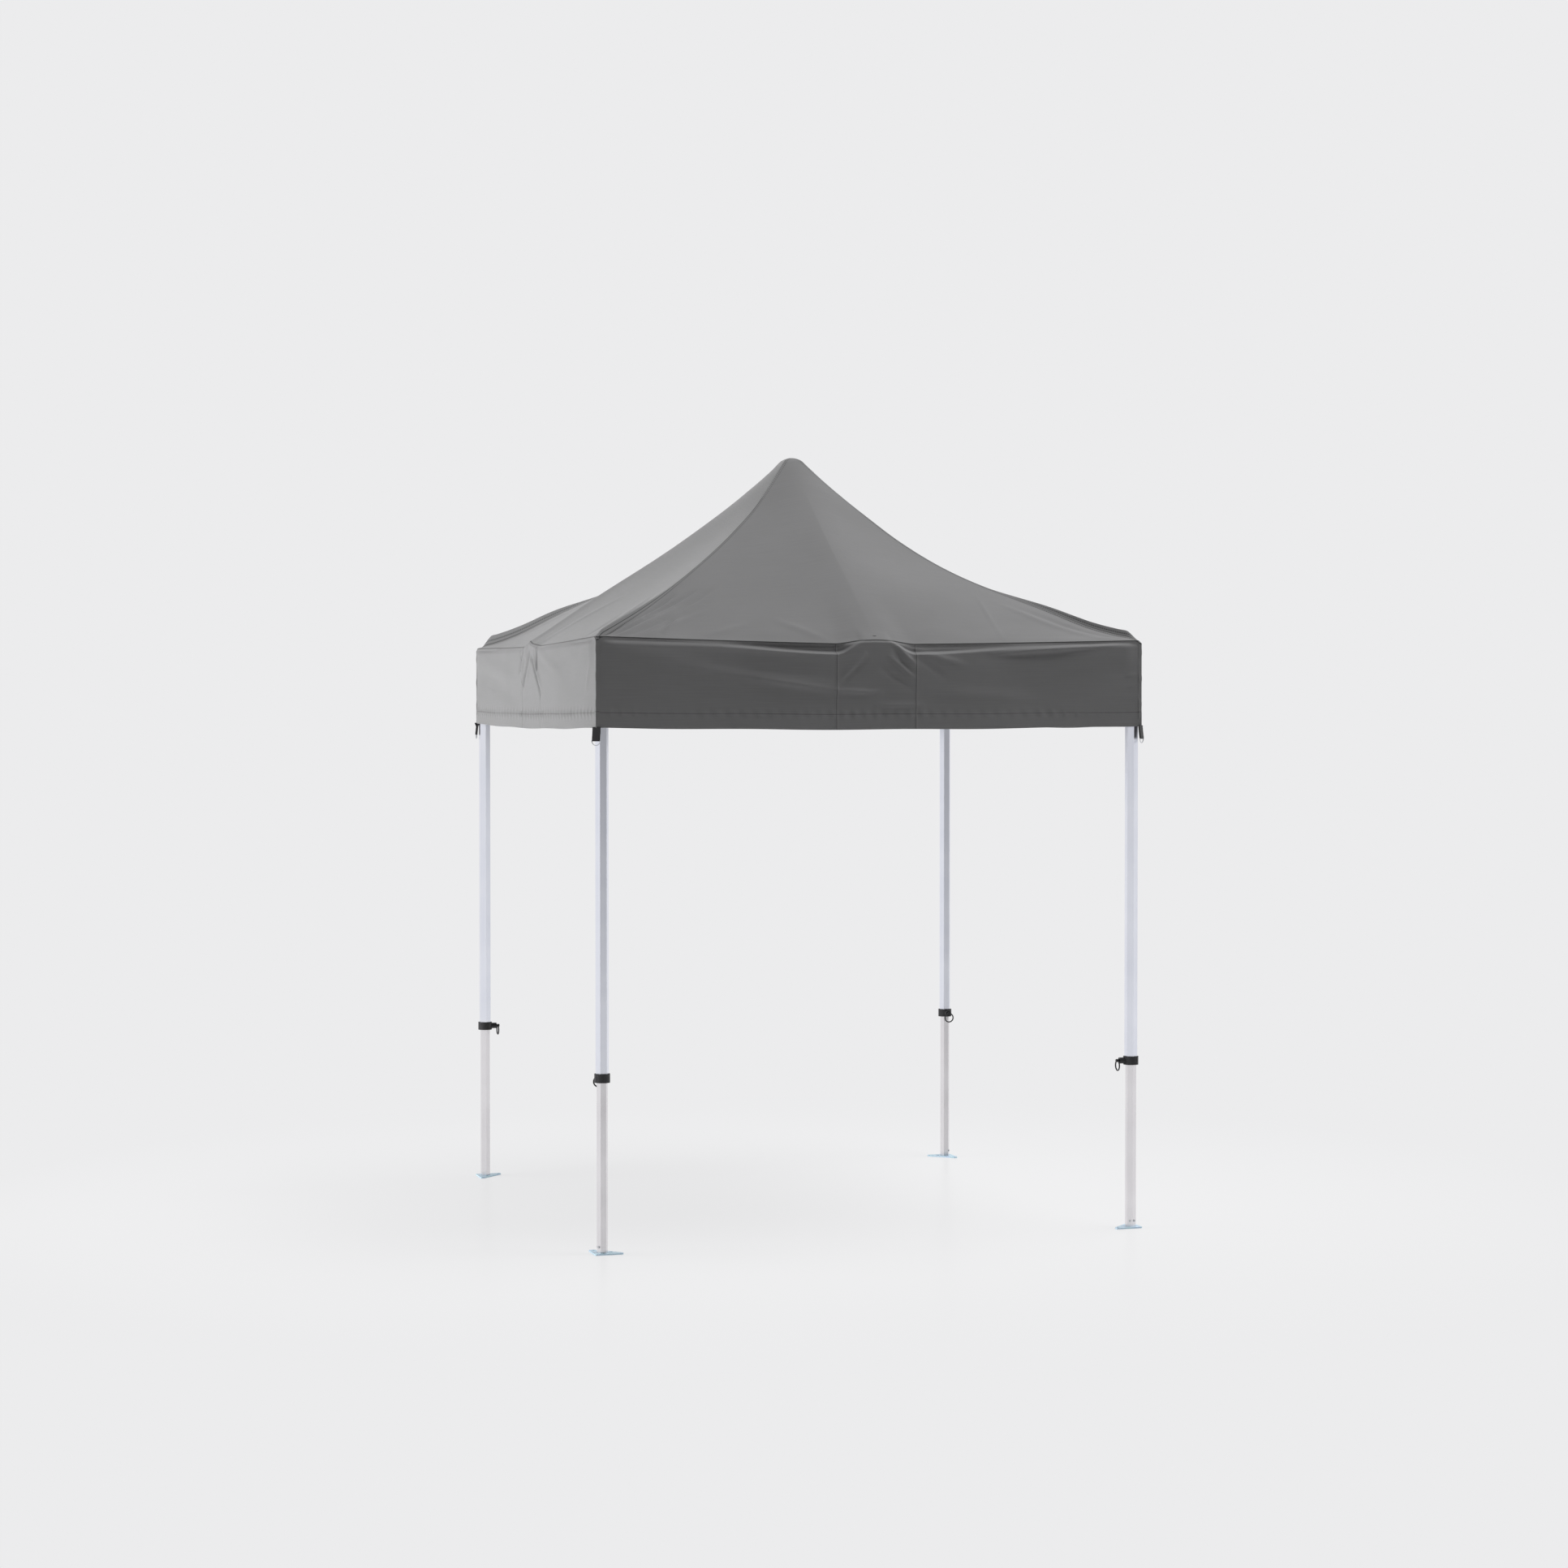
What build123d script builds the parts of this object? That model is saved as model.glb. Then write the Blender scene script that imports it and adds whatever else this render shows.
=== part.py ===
from build123d import *
import math
import os

# Folding canopy tent on four telescopic legs. Millimetres, +Z up, origin on the floor
# under the mast. -Y is the front side, and corners are counted from front left.

# Plan of the frame
LEG_HALF = 973.0            # leg axis to the tent's centre plane
LEG_PIVOT = 45.0            # leg axis to the bar pivots on its head and slider
MID_PIVOT_SIDE = 35.0       # middle bracket axis to the side bars' pivots
MID_PIVOT_IN = 40.0         # middle bracket axis to the roof arm's pivot
HUB_PIVOT = LEG_PIVOT + MID_PIVOT_SIDE - MID_PIVOT_IN

# Heights
TOP_PIVOT_Z = 2040.0        # pivots on leg heads, upper middle brackets and upper hub
TRUSS_DROP = 200.0          # upper pivots to lower pivots when the tent stands open
BOTTOM_PIVOT_Z = TOP_PIVOT_Z - TRUSS_DROP
EAVE_Z = 2102.0
PEAK_Z = 2804.0
VALANCE_DROP = 306.0
COLLAR_Z = 600.0            # middle of the locking collar

# Legs
OUTER_FLATS = 40.0
OUTER_WALL = 1.6
INNER_FLATS = 33.5
INNER_WALL = 1.5
INNER_LENGTH = 1150.0
SLIDE_GAP = 0.3             # running clearance between sliding pieces
PLUG_HEIGHT = 40.0          # guide plug on top of the inner tube

# Fittings
FITTING_FLATS = 47.0        # hexagonal bodies with their corners turned round
FITTING_DIAMETER = 50.4
HEAD_SKIRT = 30.0           # head body below its pivots
SLIDER_HEIGHT = 50.0
COLLAR_DIAMETER = 54.0
COLLAR_HEIGHT = 30.0
COLLAR_LIP = 7.0            # inward lip that guides the inner tube
COLLAR_SPLIT = 1.6          # width of the split line down the collar's outer face
COLLAR_SPLIT_DEPTH = 3.0
COLLAR_SPLIT_TURN = 120.0   # from the pin, in degrees
TONGUE = 5.0                # thickness of the plates that the bars are bolted to
TONGUE_RADIUS = 12.0

# Scissor bars and their bolts
BAR_DEPTH = 25.0
BAR_THICKNESS = 12.7
BAR_WALL = 1.3
BAR_END = 14.0              # bar length past its pivot
BAR_GAP = 0.3               # bar face to tongue face
BOLT = 6.0
BOLT_PLAY = 0.25
BOLT_HEAD = 11.0
HEAD_HEIGHT = 2.5
LAYER = TONGUE / 2 + BAR_GAP + BAR_THICKNESS / 2

# Middle brackets, hubs and mast
MID_DIAMETER = 24.0
HUB_DIAMETER = 40.0
HUB_HEIGHT = 36.0
MAST_DIAMETER = 28.0
MAST_WALL = 1.5
MAST_TAIL = 25.0            # mast below the lower hub's pivots
CAP_DIAMETER = 66.0
CAP_RIM = 8.0
CAP_SKIRT = 24.0            # cap sleeve over the mast's top

# Pull pins
PIN = 7.0
PIN_TIP_GAP = 0.3
PIN_BOSS = 22.0
PIN_BOSS_REACH = 45.0       # leg axis to the boss end
PIN_KNOB = 11.0
PIN_KNOB_LENGTH = 12.0
PIN_TRAVEL_ROOM = 0.4
RING_RADIUS = 17.5
RING_WIRE = 5.0
RING_HOLE = 6.5

# Feet
FOOT_EDGE = 116.0           # right-angle edges of the foot plate before its tips are cut
FOOT_INSET = 33.0           # leg axis to those edges
FOOT_THICKNESS = 5.0
FOOT_TIP_CUT = 16.0
FOOT_ROUND = 6.0
PEG_HOLE = 12.0
PEG_HOLE_REACH = 56.0       # leg axis to the outer peg hole along its edge
PEG_HOLE_INSET = 16.0       # outer peg hole to that edge
PEG_HOLE_BESIDE = 30.0      # leg axis to the inner peg hole, beside the tube
PEG_HOLE_SHIFT = 2.0
FOOT_PLUG_HEIGHT = 45.0
FOOT_RIVET_Z = 25.0
FOOT_RIVET = 5.0
FOOT_RIVET_HEAD = 8.0
FOOT_RIVET_ROOT = 9.0       # leg axis to a rivet's inner end
FOOT_RIVET_TURNS = (60.0, 120.0)

# Canopy
CANOPY_OVERHANG = 27.0      # leg axis to the valance's outer face
CLOTH = 1.2
CLOTH_GAP = 0.3
SEAT_GAP = 0.3              # frame to the cloth that lies on it
HIP_LINE_SHARE = 0.6        # straight share of the hip's fall, and the power of the rest
HIP_POWER = 3
MID_LINE_SHARE = 0.93       # the same for the ridge in the middle of each side
MID_POWER = 6
CROWN = 33.0                # half width of the rounded top over the mast cap
CROWN_DROP = 13.0
CROWN_STEPS = 6
ROOF_STEPS = 9
ROOF_STEP_POWER = 1.3       # steps are closer together near the peak
FOLD_HALF = 145.0           # half width of the panel that stands out in the valance's middle
FOLD_SLOPE = 30.0
FOLD_DEPTH = 6.0
TAB_WIDTH = 26.0
TAB_THICKNESS = 2.0
TAB_ABOVE = 12.0
TAB_BELOW = 27.0
TAB_INSET = 5.0             # valance corner to the tab's edge
RING_LENGTH = 30.0
RING_DROP = 15.0
RING_BAR = 3.0

CANOPY_HALF = LEG_HALF + CANOPY_OVERHANG
VALANCE_Z = EAVE_Z - VALANCE_DROP
TUBE_BOTTOM_Z = COLLAR_Z - COLLAR_HEIGHT / 2 + COLLAR_LIP
TUBE_TOP_Z = TOP_PIVOT_Z + HEAD_SKIRT
CORNERS = ["front_left", "front_right", "back_right", "back_left"]
SIDES = ["front", "right", "back", "left"]


def turned(shape, quarter):
    """A front or front-left piece turned to another side or corner."""
    return Rot(0, 0, 90 * quarter) * shape


def at_leg(shape):
    return Pos(-LEG_HALF, -LEG_HALF, 0) * shape


def at_mid(shape):
    return Pos(0, -LEG_HALF, 0) * shape


def hex_prism(flats, low, high):
    """Upright hexagon with two flats facing Y."""
    outline = RegularPolygon(flats / 2, 6, major_radius=False)
    return Pos(0, 0, low) * extrude(outline, high - low)


def hex_tube(flats, wall, low, high):
    return hex_prism(flats, low, high) - hex_prism(flats - 2 * wall, low, high)


def rod(diameter, low, high):
    return Pos(0, 0, (low + high) / 2) * Cylinder(diameter / 2, high - low)


def rod_along_y(diameter, start, end):
    return Rot(-90, 0, 0) * rod(diameter, start, end)


def fitting_body(flats, diameter, low, high):
    return hex_prism(flats, low, high) & rod(diameter, low, high)


def tongue(reach, height):
    """Plate in the XZ plane from the axis out to a pivot on +X."""
    plate = Pos(reach / 2, 0, height) * Box(reach, TONGUE, 2 * TONGUE_RADIUS)
    end = Pos(reach, 0, height) * Rot(90, 0, 0) * Cylinder(TONGUE_RADIUS, TONGUE)
    hole = Pos(reach, 0, height) * Rot(90, 0, 0) * Cylinder(BOLT / 2 + BOLT_PLAY / 2, 2 * TONGUE)
    return plate + end - hole


def tongue_bolt(reach, height, side):
    """Bolt through a tongue and the bar on one side of it, side +1 for +Y."""
    near = -TONGUE / 2 - BOLT_PLAY
    far = LAYER + BAR_THICKNESS / 2 + BOLT_PLAY
    bolt = rod_along_y(BOLT, near, far)
    bolt += rod_along_y(BOLT_HEAD, near - HEAD_HEIGHT, near)
    bolt += rod_along_y(BOLT_HEAD, far, far + HEAD_HEIGHT)
    if side < 0:
        bolt = bolt.mirror(Plane.XZ)
    return Pos(reach, 0, height) * bolt


def cross_rivet(x, z):
    """Rivet with a spacer collar where two bars cross."""
    face = LAYER + BAR_THICKNESS / 2 + BOLT_PLAY
    rivet = rod_along_y(BOLT, -face, face)
    rivet += rod_along_y(BOLT_HEAD, -face - HEAD_HEIGHT, -face)
    rivet += rod_along_y(BOLT_HEAD, face, face + HEAD_HEIGHT)
    rivet += rod_along_y(2 * TONGUE_RADIUS, -TONGUE / 2, TONGUE / 2)
    return Pos(x, 0, z) * rivet


def bar(start, end, side):
    """Rectangular tube between two pivots in the XZ plane, with a hole at its middle."""
    (x0, z0), (x1, z1) = start, end
    length = math.hypot(x1 - x0, z1 - z0)
    tube = Box(length + 2 * BAR_END, BAR_THICKNESS, BAR_DEPTH)
    tube -= Box(length + 3 * BAR_END, BAR_THICKNESS - 2 * BAR_WALL, BAR_DEPTH - 2 * BAR_WALL)
    for place in (-length / 2, 0, length / 2):
        tube -= Pos(place, 0, 0) * Rot(90, 0, 0) * Cylinder(BOLT / 2 + BOLT_PLAY, 2 * BAR_THICKNESS)
    slope = -math.degrees(math.atan2(z1 - z0, x1 - x0))
    return Pos((x0 + x1) / 2, side * LAYER, (z0 + z1) / 2) * Rot(0, slope, 0) * tube


def arm_frame(shape):
    """Roof arms are drawn outward along +X and turned to point at the front."""
    return Rot(0, 0, -90) * shape


def hip_height(out):
    return roof_height(out, HIP_LINE_SHARE, HIP_POWER)


def mid_height(out):
    return roof_height(out, MID_LINE_SHARE, MID_POWER)


def roof_height(out, line_share, power):
    """Height of the cloth's outer face along a hip or a middle ridge."""
    left = (CANOPY_HALF - out) / (CANOPY_HALF - CROWN)
    fall = line_share * left + (1 - line_share) * left ** power
    return EAVE_Z + (PEAK_Z - CROWN_DROP - EAVE_Z) * fall


# Legs

def upper_leg():
    tube = hex_tube(OUTER_FLATS, OUTER_WALL, TUBE_BOTTOM_Z, TUBE_TOP_Z)
    pin_hole = Pos(0, 0, COLLAR_Z) * rod_along_y(PIN + 2 * SLIDE_GAP, 0, OUTER_FLATS)
    return at_leg(tube - pin_hole)


def leg_head_top():
    """The head's top lies just under the cloth at its outer edge."""
    return hip_height(LEG_HALF + FITTING_DIAMETER / 2) - CLOTH - SEAT_GAP


def leg_fittings():
    low = TOP_PIVOT_Z - HEAD_SKIRT
    head = fitting_body(FITTING_FLATS, FITTING_DIAMETER, low, leg_head_top())
    head += tongue(LEG_PIVOT, TOP_PIVOT_Z)
    head += Rot(0, 0, 90) * tongue(LEG_PIVOT, TOP_PIVOT_Z)
    head -= hex_prism(OUTER_FLATS, low, TUBE_TOP_Z)
    bolts = [tongue_bolt(LEG_PIVOT, TOP_PIVOT_Z, -1)]
    bolts.append(Rot(0, 0, 90) * tongue_bolt(LEG_PIVOT, TOP_PIVOT_Z, 1))
    return at_leg(Compound(children=[head, collar(), *bolts]))


def collar():
    low = COLLAR_Z - COLLAR_HEIGHT / 2
    high = COLLAR_Z + COLLAR_HEIGHT / 2
    body = rod(COLLAR_DIAMETER, low, high)
    body += Pos(0, 0, COLLAR_Z) * rod_along_y(PIN_BOSS, 0, PIN_BOSS_REACH)
    body -= hex_prism(OUTER_FLATS, TUBE_BOTTOM_Z, high)
    body -= hex_prism(INNER_FLATS + 2 * SLIDE_GAP, low, high)
    body -= Pos(0, 0, COLLAR_Z) * rod_along_y(PIN + 2 * SLIDE_GAP, 0, 2 * PIN_BOSS_REACH)
    split = Pos(0, COLLAR_DIAMETER / 2, COLLAR_Z) * Box(COLLAR_SPLIT, 2 * COLLAR_SPLIT_DEPTH, COLLAR_HEIGHT)
    return body - Rot(0, 0, COLLAR_SPLIT_TURN) * split


def lower_leg():
    top = FOOT_THICKNESS + INNER_LENGTH
    tube = hex_tube(INNER_FLATS, INNER_WALL, FOOT_THICKNESS, top)
    guide = hex_prism(OUTER_FLATS - 2 * OUTER_WALL - 2 * SLIDE_GAP, top, top + PLUG_HEIGHT / 4)
    guide += hex_prism(INNER_FLATS - 2 * INNER_WALL, top - PLUG_HEIGHT, top)
    foot = foot_plate()
    face = INNER_FLATS / 2
    hole = rod_along_y(FOOT_RIVET + BOLT_PLAY, FOOT_RIVET_ROOT - BOLT_PLAY, OUTER_FLATS)
    rivet = rod_along_y(FOOT_RIVET, FOOT_RIVET_ROOT, face + BOLT_PLAY)
    rivet += rod_along_y(FOOT_RIVET_HEAD, face + BOLT_PLAY, face + HEAD_HEIGHT)
    rivets = []
    for turn in FOOT_RIVET_TURNS:
        place = Pos(0, 0, FOOT_RIVET_Z) * Rot(0, 0, turn)
        tube -= place * hole
        foot -= place * hole
        rivets.append(place * rivet)
    return at_leg(Compound(children=[tube, guide, foot, *rivets]))


def foot_plate():
    """Triangular plate with its right angle outward and a plug inside the tube."""
    low = -FOOT_INSET
    far = FOOT_EDGE - FOOT_INSET
    tip = FOOT_TIP_CUT
    outline = Polyline(
        (low, low),
        (far - tip, low),
        (far - tip, low + tip),
        (low + tip, far - tip),
        (low, far - tip),
        close=True,
    )
    plate_face = make_face(outline)
    plate_face = fillet(plate_face.vertices(), FOOT_ROUND)
    plate = extrude(plate_face, FOOT_THICKNESS)
    for x, y in peg_holes():
        plate -= Pos(x, y, 0) * Cylinder(PEG_HOLE / 2, 4 * FOOT_THICKNESS)
    return plate + hex_prism(INNER_FLATS - 2 * INNER_WALL, 0, FOOT_PLUG_HEIGHT)


def peg_holes():
    near = PEG_HOLE_INSET - FOOT_INSET
    return [(PEG_HOLE_BESIDE, PEG_HOLE_SHIFT), (near, PEG_HOLE_REACH)]


def pull_pin():
    tip = INNER_FLATS / 2 + PIN_TIP_GAP
    neck = PIN_BOSS_REACH + PIN_TRAVEL_ROOM
    pin = rod_along_y(PIN, tip, neck)
    pin += rod_along_y(PIN_KNOB, neck, neck + PIN_KNOB_LENGTH)
    eye = neck + PIN_KNOB_LENGTH / 2
    pin -= Pos(0, eye, 0) * Rot(0, 90, 0) * Cylinder(RING_HOLE / 2, 2 * PIN_KNOB)
    ring = Pos(0, eye, -RING_RADIUS) * Rot(90, 0, 0) * Torus(RING_RADIUS, RING_WIRE / 2)
    return at_leg(Pos(0, 0, COLLAR_Z) * Compound(children=[pin, ring]))


def slider():
    low = BOTTOM_PIVOT_Z - SLIDER_HEIGHT / 2
    high = BOTTOM_PIVOT_Z + SLIDER_HEIGHT / 2
    body = fitting_body(FITTING_FLATS, FITTING_DIAMETER, low, high)
    body += tongue(LEG_PIVOT, BOTTOM_PIVOT_Z)
    body += Rot(0, 0, 90) * tongue(LEG_PIVOT, BOTTOM_PIVOT_Z)
    body -= hex_prism(OUTER_FLATS + 2 * SLIDE_GAP, low, high)
    bolts = [tongue_bolt(LEG_PIVOT, BOTTOM_PIVOT_Z, 1)]
    bolts.append(Rot(0, 0, 90) * tongue_bolt(LEG_PIVOT, BOTTOM_PIVOT_Z, -1))
    return at_leg(Compound(children=[body, *bolts]))


# Scissor frame

def side_bar(hand, from_head):
    """Side bar from the left (-1) or right (+1) leg to the middle bracket."""
    leg_z = TOP_PIVOT_Z if from_head else BOTTOM_PIVOT_Z
    mid_z = BOTTOM_PIVOT_Z if from_head else TOP_PIVOT_Z
    leg_end = (hand * (LEG_HALF - LEG_PIVOT), leg_z)
    mid_end = (hand * MID_PIVOT_SIDE, mid_z)
    layer = -1 if from_head else 1
    pieces = [bar(leg_end, mid_end, layer)]
    if from_head:
        pieces.append(cross_rivet((leg_end[0] + mid_end[0]) / 2, (leg_z + mid_z) / 2))
    return at_mid(Compound(children=pieces))


def roof_arm(from_low_hub):
    """Roof arm from a hub to a middle bracket of the front side."""
    hub_z = BOTTOM_PIVOT_Z if from_low_hub else TOP_PIVOT_Z
    mid_z = TOP_PIVOT_Z if from_low_hub else BOTTOM_PIVOT_Z
    hub_end = (HUB_PIVOT, hub_z)
    mid_end = (LEG_HALF - MID_PIVOT_IN, mid_z)
    layer = 1 if from_low_hub else -1
    pieces = [bar(hub_end, mid_end, layer)]
    if from_low_hub:
        pieces.append(cross_rivet((hub_end[0] + mid_end[0]) / 2, (hub_z + mid_z) / 2))
    return arm_frame(Compound(children=pieces))


def mid_bracket(pivot_z, low, high, side_layer, arm_layer):
    body = rod(MID_DIAMETER, low, high)
    bolts = []
    for heading, layer in ((0, side_layer), (180, -side_layer)):
        body += Rot(0, 0, heading) * tongue(MID_PIVOT_SIDE, pivot_z)
        bolts.append(Rot(0, 0, heading) * tongue_bolt(MID_PIVOT_SIDE, pivot_z, layer))
    body += Rot(0, 0, 90) * tongue(MID_PIVOT_IN, pivot_z)
    bolts.append(Rot(0, 0, 90) * tongue_bolt(MID_PIVOT_IN, pivot_z, -arm_layer))
    return at_mid(Compound(children=[body, *bolts]))


def mid_top():
    pad_top = mid_height(LEG_HALF + MID_DIAMETER / 2) - CLOTH - SEAT_GAP
    return mid_bracket(TOP_PIVOT_Z, TOP_PIVOT_Z - HUB_HEIGHT / 2, pad_top, 1, 1)


def mid_bottom():
    low = BOTTOM_PIVOT_Z - HUB_HEIGHT / 2
    return mid_bracket(BOTTOM_PIVOT_Z, low, BOTTOM_PIVOT_Z + HUB_HEIGHT / 2, -1, -1)


def hub(pivot_z, bore, layer):
    body = rod(HUB_DIAMETER, pivot_z - HUB_HEIGHT / 2, pivot_z + HUB_HEIGHT / 2)
    bolts = []
    for quarter in range(4):
        body += turned(arm_frame(tongue(HUB_PIVOT, pivot_z)), quarter)
        bolts.append(turned(arm_frame(tongue_bolt(HUB_PIVOT, pivot_z, layer)), quarter))
    body -= rod(bore, pivot_z - HUB_HEIGHT, pivot_z + HUB_HEIGHT)
    return Compound(children=[body, *bolts])


def hub_high():
    return hub(TOP_PIVOT_Z, MAST_DIAMETER + 2 * SLIDE_GAP, -1)


def hub_low():
    return hub(BOTTOM_PIVOT_Z, MAST_DIAMETER, 1)


def cap_top():
    return PEAK_Z - CLOTH - SEAT_GAP


def mast_top():
    return cap_top() - CAP_RIM


def mast():
    low = BOTTOM_PIVOT_Z - MAST_TAIL
    return rod(MAST_DIAMETER, low, mast_top()) - rod(MAST_DIAMETER - 2 * MAST_WALL, low, mast_top())


def mast_cap():
    """Rounded cap that carries the cloth's peak, sleeved over the mast."""
    rim = CAP_DIAMETER / 2 - CLOTH
    crown_z = cap_top()
    rim_z = crown_z - CROWN_DROP
    rise = crown_z - rim_z
    dome_radius = (rim * rim + rise * rise) / (2 * rise)
    dome = Pos(0, 0, crown_z - dome_radius) * Sphere(dome_radius)
    dome &= rod(2 * rim, rim_z - CAP_RIM, crown_z)
    sleeve = rod(MAST_DIAMETER + 3 * MAST_WALL, mast_top() - CAP_SKIRT, rim_z)
    return dome + sleeve - rod(MAST_DIAMETER, 0, mast_top())


# Canopy

def roof_station(out, hip, mid):
    """Strip of cloth across one side at a distance from the mast."""
    half = out - CLOTH_GAP / 2
    outline = Polyline(
        (-half, hip),
        (0, mid),
        (half, hip),
        (half, hip - CLOTH),
        (0, mid - CLOTH),
        (-half, hip - CLOTH),
        close=True,
    )
    return Plane(origin=(0, -out, 0), x_dir=(1, 0, 0), z_dir=(0, -1, 0)) * make_face(outline)


def crown_height(out):
    """Height of the cloth over the rounded mast cap."""
    return PEAK_Z - CROWN_DROP * (out / CROWN) ** 2


def roof_panel():
    stations = []
    for step in range(CROWN_STEPS):
        out = max(CLOTH, CROWN * step / CROWN_STEPS)
        stations.append(roof_station(out, crown_height(out), crown_height(out)))
    for step in range(ROOF_STEPS + 1):
        share = (step / ROOF_STEPS) ** ROOF_STEP_POWER
        out = CROWN + (CANOPY_HALF - CROWN) * share
        stations.append(roof_station(out, hip_height(out), mid_height(out)))
    return loft(stations, ruled=True)


def valance():
    """Hanging edge, with the panel in its middle pushed out by the frame."""
    face = -CANOPY_HALF
    end = CANOPY_HALF - CLOTH - CLOTH_GAP
    stand = -CANOPY_HALF - FOLD_DEPTH
    outer = [
        (-end, face),
        (-FOLD_HALF - FOLD_SLOPE, face),
        (-FOLD_HALF, stand),
        (FOLD_HALF, stand),
        (FOLD_HALF + FOLD_SLOPE, face),
        (end, face),
    ]
    inner = [(x, y + CLOTH) for x, y in reversed(outer)]
    strip = make_face(Polyline(*outer, *inner, close=True))
    skirt = Pos(0, 0, VALANCE_Z) * extrude(strip, VALANCE_DROP)
    lip = Pos(0, -CANOPY_HALF - FOLD_DEPTH / 2, EAVE_Z - CLOTH / 2)
    return skirt + lip * Box(2 * FOLD_HALF, FOLD_DEPTH, CLOTH)


def corner_tab():
    left = -CANOPY_HALF + TAB_INSET
    back = -CANOPY_HALF + CLOTH
    low = VALANCE_Z - TAB_BELOW
    high = VALANCE_Z + TAB_ABOVE
    middle = Pos(left + TAB_WIDTH / 2, back + TAB_THICKNESS / 2, (low + high) / 2)
    return middle * Box(TAB_WIDTH, TAB_THICKNESS, high - low)


def tab_ring():
    left = -CANOPY_HALF + TAB_INSET + TAB_WIDTH / 2
    back = -CANOPY_HALF + CLOTH + TAB_THICKNESS / 2
    outline = RectangleRounded(RING_LENGTH, RING_DROP, RING_DROP / 3)
    outline -= RectangleRounded(RING_LENGTH - 2 * RING_BAR, RING_DROP - 2 * RING_BAR, RING_DROP / 6)
    ring = Rot(90, 0, 0) * extrude(outline, RING_BAR / 2, both=True)
    drop = VALANCE_Z - TAB_BELOW - RING_DROP / 2 - CLOTH_GAP
    return Pos(left, back, drop) * ring


def canopy_side():
    return Compound(children=[roof_panel() + valance(), corner_tab(), tab_ring()])


def write(name, shape):
    export_step(shape, os.path.join("parts", name + ".step"))


def main():
    os.makedirs("parts", exist_ok=True)
    corner_pieces = {
        "upper_leg": upper_leg(),
        "leg_fittings": leg_fittings(),
        "lower_leg": lower_leg(),
        "pull_pin": pull_pin(),
        "slider": slider(),
    }
    for piece, shape in corner_pieces.items():
        for quarter, corner in enumerate(CORNERS):
            write(piece + "_" + corner, turned(shape, quarter))
    side_pieces = {
        "left_head_bar": side_bar(-1, True),
        "left_slider_bar": side_bar(-1, False),
        "right_head_bar": side_bar(1, True),
        "right_slider_bar": side_bar(1, False),
        "low_arm": roof_arm(True),
        "high_arm": roof_arm(False),
        "mid_top": mid_top(),
        "mid_bottom": mid_bottom(),
        "canopy": canopy_side(),
    }
    for piece, shape in side_pieces.items():
        for quarter, side in enumerate(SIDES):
            write(side + "_" + piece, turned(shape, quarter))
    write("hub_high", hub_high())
    write("hub_low", hub_low())
    write("mast", mast())
    write("mast_cap", mast_cap())


main()
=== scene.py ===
import math
import bpy
import numpy as np
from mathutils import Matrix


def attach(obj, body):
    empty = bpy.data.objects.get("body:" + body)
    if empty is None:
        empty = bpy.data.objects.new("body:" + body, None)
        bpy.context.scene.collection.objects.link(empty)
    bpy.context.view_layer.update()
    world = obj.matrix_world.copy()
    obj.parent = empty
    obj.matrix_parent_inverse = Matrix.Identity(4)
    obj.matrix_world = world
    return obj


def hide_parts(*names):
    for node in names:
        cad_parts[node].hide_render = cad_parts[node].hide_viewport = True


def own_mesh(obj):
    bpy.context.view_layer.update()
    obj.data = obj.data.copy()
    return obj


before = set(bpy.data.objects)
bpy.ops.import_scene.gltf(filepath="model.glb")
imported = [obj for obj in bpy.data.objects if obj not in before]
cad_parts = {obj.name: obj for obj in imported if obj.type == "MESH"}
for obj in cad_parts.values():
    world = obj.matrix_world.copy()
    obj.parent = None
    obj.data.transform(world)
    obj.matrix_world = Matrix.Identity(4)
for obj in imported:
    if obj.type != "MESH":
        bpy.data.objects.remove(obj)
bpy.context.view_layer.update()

# Canopy in metres, the same form as the CAD canopy. Each side is drawn as the front one, then turned.
SIDES = ["front", "right", "back", "left"]
CORNERS = ["front_left", "front_right", "back_right", "back_left"]
HALF = 1.000            # canopy centre to the valance's outer face
EAVE = 2.102
PEAK = 2.804
DROP = 0.306            # depth of the valance
CROWN = 0.033           # half width of the rounded top over the mast cap
CROWN_DROP = 0.013
HIP_SHARE = 0.6
HIP_POWER = 3
MID_SHARE = 0.93
MID_POWER = 6
HOOD = 0.16             # half width of the hood that stays on the mast when the tent folds
CLOTH = 0.001
SEAM = 0.145            # half width of the valance's middle panel
HEM = 0.050

# Below, a pair is where something begins and where it is complete. Along the eave and out from the mast both
# count from 0 in the middle to 1 at the eave's corner, and down counts from the eave.

# Eave
EAVE_SEAM = 0.003       # painted shade: dark line along the seam between roof and valance, for the shade in the seam
EAVE_ROLL = 0.007       # the eave's seam lies this far inside the valance, which rolls over below it
ROLL_DOWN = 0.010       # depth of the roll at the middle, and how much more there is beside it
ROLL_MORE = 0.014
ROLL_SIDE = (0.05, 0.2)
ROLL_END = (0.93, 1.0)
ROLL_REACH = (0.90, 1.0)
EAVE_BULGE = 0.009      # towards the legs the cloth stands out instead
BULGE_START = 0.45
BULGE_DOWN = 0.028
BULGE_END = (0.04, 0.16)
SAG_POWER = 1.3
SAG_MIDDLE = 0.4        # share of the eave's slack that is left over the middle bracket
SAG_ARCH = (0.045, SEAM + 0.005)
SAG_REACH = (0.55, 1.0)
SAG_DOWN = 0.17
PLEAT_POWER = 1.6
PLEAT_REACH = (0.45, 1.0)
PLEAT_DOWN = 0.05
CORNER_DROOP = 0.012    # rounding of the eave's corners
DROOP_START = 0.965
DROOP_REACH = (0.955, 1.0)
DROOP_DOWN = 0.12

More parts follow.
